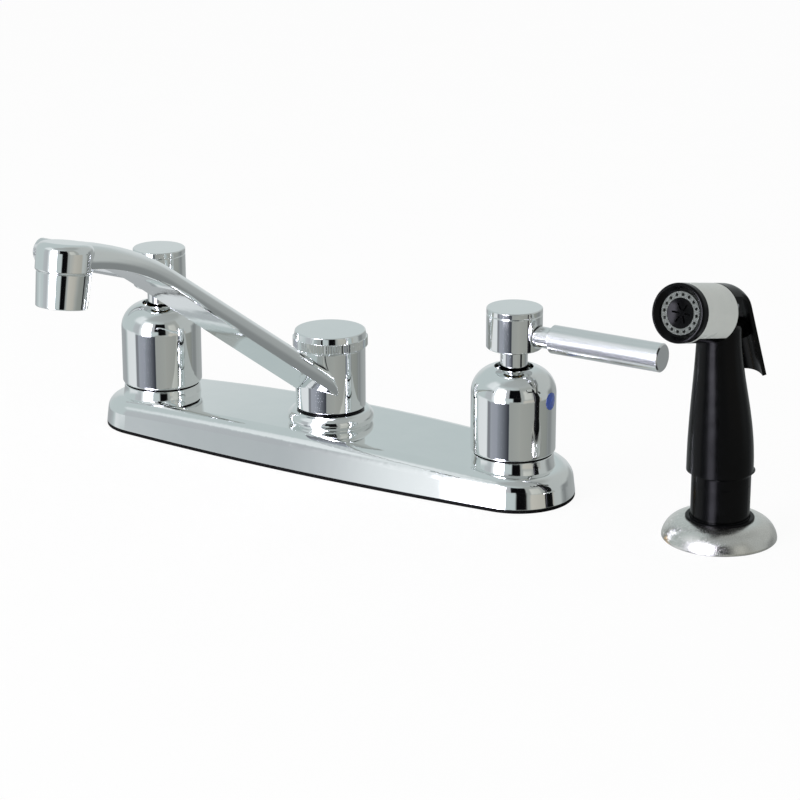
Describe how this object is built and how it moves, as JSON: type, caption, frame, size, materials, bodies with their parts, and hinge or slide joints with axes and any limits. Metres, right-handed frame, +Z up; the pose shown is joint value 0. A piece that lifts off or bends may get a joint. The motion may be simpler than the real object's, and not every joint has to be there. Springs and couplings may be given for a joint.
{
  "type": "two handle kitchen faucet",
  "caption": "Deck-mounted kitchen faucet with a bowed plate, a swing spout, lever handles on bell covers and a side sprayer in its own flange.",
  "frame": {"origin": "deck surface, under the plate's gasket, on the spout's swivel axis", "axes": "+X to the right towards the cold handle and the sprayer, -Y towards the person at the sink, +Z up"},
  "size_m": [0.4119, 0.248, 0.2119],
  "materials": {
    "chrome": "polished",
    "satin_nickel": "satin",
    "brass": "machined",
    "steel": "satin",
    "zinc_nut": "satin",
    "black_rubber": "matte",
    "black_nylon": "satin",
    "gloss_black": "gloss",
    "grey_plastic": "satin",
    "white_plastic": "satin",
    "ceramic": "polished",
    "hot_red": "gloss",
    "cold_blue": "gloss"
  },
  "bodies": {
    "faucet_body": {"deck_plate": "chrome", "deck_gasket": "black_rubber", "centre_body": "brass", "hot_cross_tube": "brass", "cold_cross_tube": "brass", "hot_valve_body": "brass", "cold_valve_body": "brass", "hot_seat_seal": "black_rubber", "cold_seat_seal": "black_rubber", "hot_cartridge": "brass", "cold_cartridge": "brass", "hot_fixed_disc": "ceramic", "cold_fixed_disc": "ceramic", "hot_bell": "chrome", "cold_bell": "chrome", "hot_bell_seal": "black_rubber", "cold_bell_seal": "black_rubber", "hot_index_dot": "hot_red", "cold_index_dot": "cold_blue", "spout_cap": "chrome", "spout_wear_ring": "black_nylon", "spout_o_rings": "black_rubber", "diverter_body": "white_plastic", "diverter_spring": "steel", "shank_washers": "steel", "shank_nuts": "zinc_nut", "sprayer_flange": "satin_nickel", "sprayer_holder": "black_nylon", "sprayer_holder_nut": "black_nylon"},
    "spout": {"spout": "chrome", "aerator_housing": "chrome", "aerator_insert": "white_plastic", "aerator_washer": "black_rubber"},
    "hot_handle": {"hot_handle_hub": "chrome", "hot_handle_cap": "chrome", "hot_handle_screw": "steel", "hot_lever": "chrome", "hot_stem": "brass", "hot_moving_disc": "ceramic"},
    "cold_handle": {"cold_handle_hub": "chrome", "cold_handle_cap": "chrome", "cold_handle_screw": "steel", "cold_lever": "chrome", "cold_stem": "brass", "cold_moving_disc": "ceramic"},
    "diverter_plunger": {"diverter_plunger": "white_plastic"},
    "sprayer": {"wand_shell": "gloss_black", "head_band": "grey_plastic", "nozzle_bezel": "gloss_black", "spray_ring": "grey_plastic", "nozzle_core": "gloss_black", "trigger_pin": "steel", "valve_spring": "steel", "hose_coupling": "brass"},
    "trigger": {"trigger": "gloss_black"},
    "valve_plunger": {"valve_plunger": "brass"}
  },
  "joints": [
    {"name": "spout_swing", "type": "hinge", "parent": "faucet_body", "child": "spout", "pos_m": [0, 0, 0.04], "axis": [0, 0, 1], "range_deg": [-70, 70]},
    {"name": "hot_handle_turn", "type": "hinge", "parent": "faucet_body", "child": "hot_handle", "pos_m": [-0.1016, 0, 0.06], "axis": [0, 0, 1], "range_deg": [0, 90]},
    {"name": "cold_handle_turn", "type": "hinge", "parent": "faucet_body", "child": "cold_handle", "pos_m": [0.1016, 0, 0.06], "axis": [0, 0, -1], "range_deg": [0, 90]},
    {"name": "diverter_slide", "type": "slide", "parent": "faucet_body", "child": "diverter_plunger", "axis": [0, 0, 1], "range_m": [0, 0.0025], "stiffness_N_per_m": 150, "springref_m": -0.004, "deforming": ["diverter_spring"]},
    {"name": "sprayer_lift", "type": "slide", "parent": "faucet_body", "child": "sprayer", "axis": [0, 0, 1], "range_m": [0, 0.06]},
    {"name": "trigger_squeeze", "type": "hinge", "parent": "sprayer", "child": "trigger", "pos_m": [0.20746, -0.00825, 0.11064], "axis": [-0.9949, 0.1011, 0], "range_deg": [0, 12], "stiffness_Nm_per_rad": 0.4, "springref_deg": -11.46},
    {"name": "valve_push", "type": "slide", "parent": "sprayer", "child": "valve_plunger", "axis": [-0.1011, -0.9949, 0], "range_m": [0, 0.0034], "deforming": ["valve_spring"]}
  ],
  "couplings": [
    {"joint": "valve_push", "follows": "trigger_squeeze", "m_per_rad": 0.0158}
  ]
}
